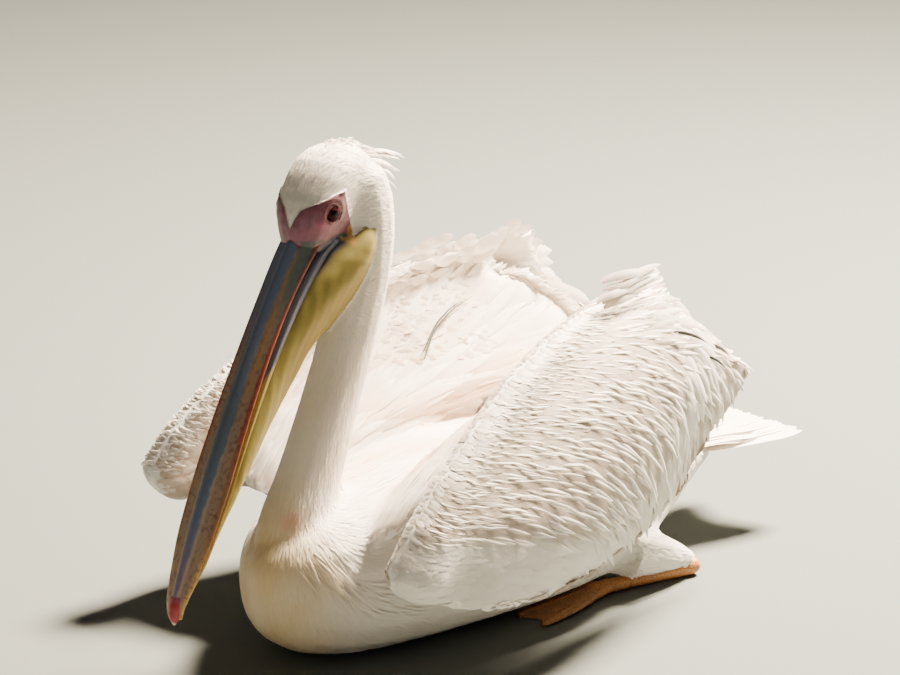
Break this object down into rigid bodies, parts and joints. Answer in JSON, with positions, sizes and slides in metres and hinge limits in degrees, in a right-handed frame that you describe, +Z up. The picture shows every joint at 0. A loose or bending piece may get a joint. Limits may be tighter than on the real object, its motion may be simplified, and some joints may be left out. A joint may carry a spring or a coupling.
{
  "type": "white pelican figure",
  "caption": "Life-size white pelican resting on its belly with raised wings, long bill held down, pouch, short tail and tucked webbed feet.",
  "frame": {"origin": "on the floor under the middle of the belly", "axes": "the bird faces -Y, its left side is +X, +Z is up"},
  "size_m": [0.5192, 0.9396, 0.5656],
  "materials": {
    "plumage": "matte",
    "bill": "satin",
    "nail": "satin",
    "pouch": "satin",
    "eye": "gloss",
    "quill": "matte",
    "leg": "satin"
  },
  "bodies": {
    "root": {"trunk": "plumage", "neck_lower": "plumage", "neck_upper": "plumage", "head": "plumage", "tail": "plumage", "bill_upper": "bill", "bill_lower": "bill", "nail": "nail", "pouch": "pouch", "eye_left": "eye", "eye_right": "eye", "forewing_left": "plumage", "wing_left": "plumage", "shoulder_left": "plumage", "primaries_left": "quill", "shank_left": "plumage", "leg_left": "leg", "forewing_right": "plumage", "wing_right": "plumage", "shoulder_right": "plumage", "primaries_right": "quill", "shank_right": "plumage", "leg_right": "leg"}
  },
  "joints": []
}
